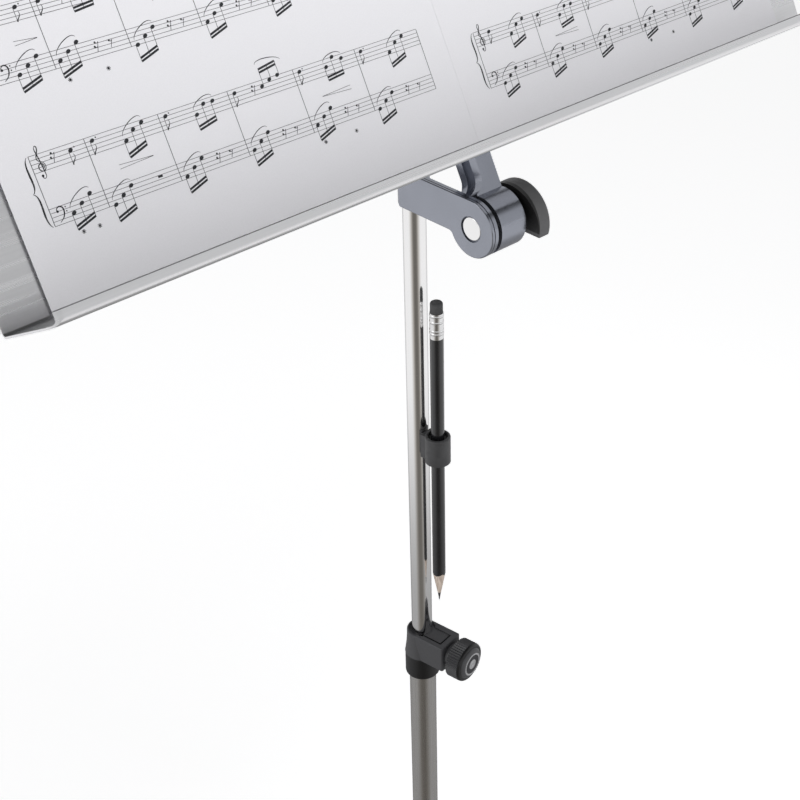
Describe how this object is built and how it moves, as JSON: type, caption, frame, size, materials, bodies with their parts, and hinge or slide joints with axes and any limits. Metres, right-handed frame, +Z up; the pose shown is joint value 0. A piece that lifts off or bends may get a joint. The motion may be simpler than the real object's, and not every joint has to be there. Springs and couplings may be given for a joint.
{
  "type": "music stand",
  "caption": "Folding tripod music stand with a telescopic column, friction-hinged tilting desk, open sheet music and a pencil in a magnetic holder.",
  "frame": {"origin": "on the floor at the column's axis", "axes": "+Z up along the column, the player stands at -Y, +X to the player's right"},
  "size_m": [0.5506, 0.4791, 1.2175],
  "materials": {
    "bright_chrome": "polished",
    "satin_nickel": "satin nickel plate",
    "zinc_steel": "bright zinc plate",
    "gunmetal": "glossy gunmetal coating over a die casting",
    "desk_metal": "satin silver-grey",
    "black_plastic": "fine moulded grain",
    "nylon": "smooth",
    "badge_metal": "turned",
    "brass": "machined",
    "foot_rubber": "matte",
    "eraser": "matte",
    "magnet": "dark nickel",
    "pencil_wood": "black gloss lacquer, bare wood at the cone",
    "graphite": "graphite",
    "ferrule_metal": "crimped",
    "paper": "uncoated paper with printed notation"
  },
  "bodies": {
    "tripod_column": {"lower_tube": "satin_nickel", "tube_plug": "black_plastic", "strut_hub": "black_plastic", "strut_pins": "zinc_steel", "clamp_housing": "black_plastic"},
    "runner": {"runner": "black_plastic", "leg_pins": "zinc_steel"},
    "runner_pad": {"runner_pad": "nylon"},
    "runner_knob": {"runner_screw": "zinc_steel", "runner_knob": "black_plastic"},
    "brake_block": {"brake_block": "black_plastic"},
    "clamp_knob": {"clamp_screw": "zinc_steel", "clamp_knob": "black_plastic", "clamp_knob_cap": "black_plastic", "knob_badge": "badge_metal"},
    "guide_bush": {"guide_bush": "black_plastic"},
    "upper_column": {"upper_tube": "bright_chrome", "tilt_bracket": "gunmetal", "bracket_screw": "bright_chrome", "pivot_bolt": "bright_chrome"},
    "desk": {"desk_arm": "gunmetal", "friction_washer": "nylon", "desk": "desk_metal", "desk_studs": "zinc_steel", "desk_nuts": "zinc_steel"},
    "knob_washer": {"knob_washer": "nylon"},
    "wing_knob": {"wing_knob": "black_plastic", "wing_insert": "brass"},
    "sheet_music": {"music_pages_left": "paper", "music_pages_right": "paper"},
    "pencil_holder": {"pencil_holder": "foot_rubber", "holder_magnet": "magnet"},
    "pencil": {"pencil_body": "pencil_wood", "pencil_lead": "graphite", "pencil_ferrule": "ferrule_metal", "pencil_eraser": "eraser"},
    "leg_1": {"leg_1": "satin_nickel", "foot_1": "foot_rubber"},
    "strut_1": {"strut_1": "satin_nickel", "strut_rivets_1": "zinc_steel"},
    "leg_2": {"leg_2": "satin_nickel", "foot_2": "foot_rubber"},
    "strut_2": {"strut_2": "satin_nickel", "strut_rivets_2": "zinc_steel"},
    "leg_3": {"leg_3": "satin_nickel", "foot_3": "foot_rubber"},
    "strut_3": {"strut_3": "satin_nickel", "strut_rivets_3": "zinc_steel"}
  },
  "joints": [
    {"name": "height_slide", "type": "slide", "parent": "tripod_column", "child": "guide_bush", "axis": [0, 0, 1], "range_m": [-0.02, 0.22]},
    {"name": "column_swivel", "type": "hinge", "parent": "guide_bush", "child": "upper_column", "pos_m": [0, 0, 0.6], "axis": [0, 0, 1], "continuous": true},
    {"name": "clamp_knob_turn", "type": "hinge", "parent": "brake_block", "child": "clamp_knob", "pos_m": [0.00521, -0.02954, 0.5908], "axis": [0.1736, -0.9848, 0], "range_deg": [0, 360]},
    {"name": "brake_block_slide", "type": "slide", "parent": "tripod_column", "child": "brake_block", "axis": [0.1736, -0.9848, 0], "range_m": [0, 0.001]},
    {"name": "desk_tilt", "type": "hinge", "parent": "upper_column", "child": "desk", "pos_m": [0, -0.0487, 0.8831], "axis": [1, 0, 0], "range_deg": [-26, 45]},
    {"name": "wing_knob_turn", "type": "hinge", "parent": "knob_washer", "child": "wing_knob", "pos_m": [0.02, -0.0487, 0.8831], "axis": [1, 0, 0], "range_deg": [0, 360]},
    {"name": "knob_washer_slide", "type": "slide", "parent": "upper_column", "child": "knob_washer", "axis": [1, 0, 0], "range_m": [0, 0.001]},
    {"name": "music_lift", "type": "slide", "parent": "desk", "child": "sheet_music", "axis": [0, 0.4695, 0.8829], "range_m": [0, 0.12]},
    {"name": "holder_slide", "type": "slide", "parent": "upper_column", "child": "pencil_holder", "axis": [0, 0, 1], "range_m": [-0.008, 0.03]},
    {"name": "pencil_lift", "type": "slide", "parent": "pencil_holder", "child": "pencil", "axis": [0, 0, 1], "range_m": [0, 0.06]},
    {"name": "runner_slide", "type": "slide", "parent": "tripod_column", "child": "runner", "axis": [0, 0, 1], "range_m": [0, 0.1588]},
    {"name": "runner_knob_turn", "type": "hinge", "parent": "runner_pad", "child": "runner_knob", "pos_m": [0, -0.025, 0.19], "axis": [0, -1, 0], "range_deg": [0, 360]},
    {"name": "runner_pad_slide", "type": "slide", "parent": "runner", "child": "runner_pad", "axis": [0, -1, 0], "range_m": [0, 0.001]},
    {"name": "leg_1_fold", "type": "hinge", "parent": "runner", "child": "leg_1", "pos_m": [0, 0.017, 0.173], "axis": [-1, 0, 0], "range_deg": [0, 55]},
    {"name": "strut_1_fold", "type": "hinge", "parent": "tripod_column", "child": "strut_1", "pos_m": [0, 0.017, 0.013], "axis": [-1, 0, 0], "range_deg": [-55, 0]},
    {"name": "leg_2_fold", "type": "hinge", "parent": "runner", "child": "leg_2", "pos_m": [-0.01472, -0.0085, 0.173], "axis": [0.5, -0.866, 0], "range_deg": [0, 55]},
    {"name": "strut_2_fold", "type": "hinge", "parent": "tripod_column", "child": "strut_2", "pos_m": [-0.01472, -0.0085, 0.013], "axis": [0.5, -0.866, 0], "range_deg": [-55, 0]},
    {"name": "leg_3_fold", "type": "hinge", "parent": "runner", "child": "leg_3", "pos_m": [0.01472, -0.0085, 0.173], "axis": [0.5, 0.866, 0], "range_deg": [0, 55]},
    {"name": "strut_3_fold", "type": "hinge", "parent": "tripod_column", "child": "strut_3", "pos_m": [0.01472, -0.0085, 0.013], "axis": [0.5, 0.866, 0], "range_deg": [-55, 0]}
  ],
  "couplings": [
    {"joint": "leg_1_fold", "follows": "runner_slide", "rad_per_m": 6.0339},
    {"joint": "strut_1_fold", "follows": "runner_slide", "rad_per_m": -6.0339},
    {"joint": "leg_2_fold", "follows": "runner_slide", "rad_per_m": 6.0339},
    {"joint": "strut_2_fold", "follows": "runner_slide", "rad_per_m": -6.0339},
    {"joint": "leg_3_fold", "follows": "runner_slide", "rad_per_m": 6.0339},
    {"joint": "strut_3_fold", "follows": "runner_slide", "rad_per_m": -6.0339}
  ]
}
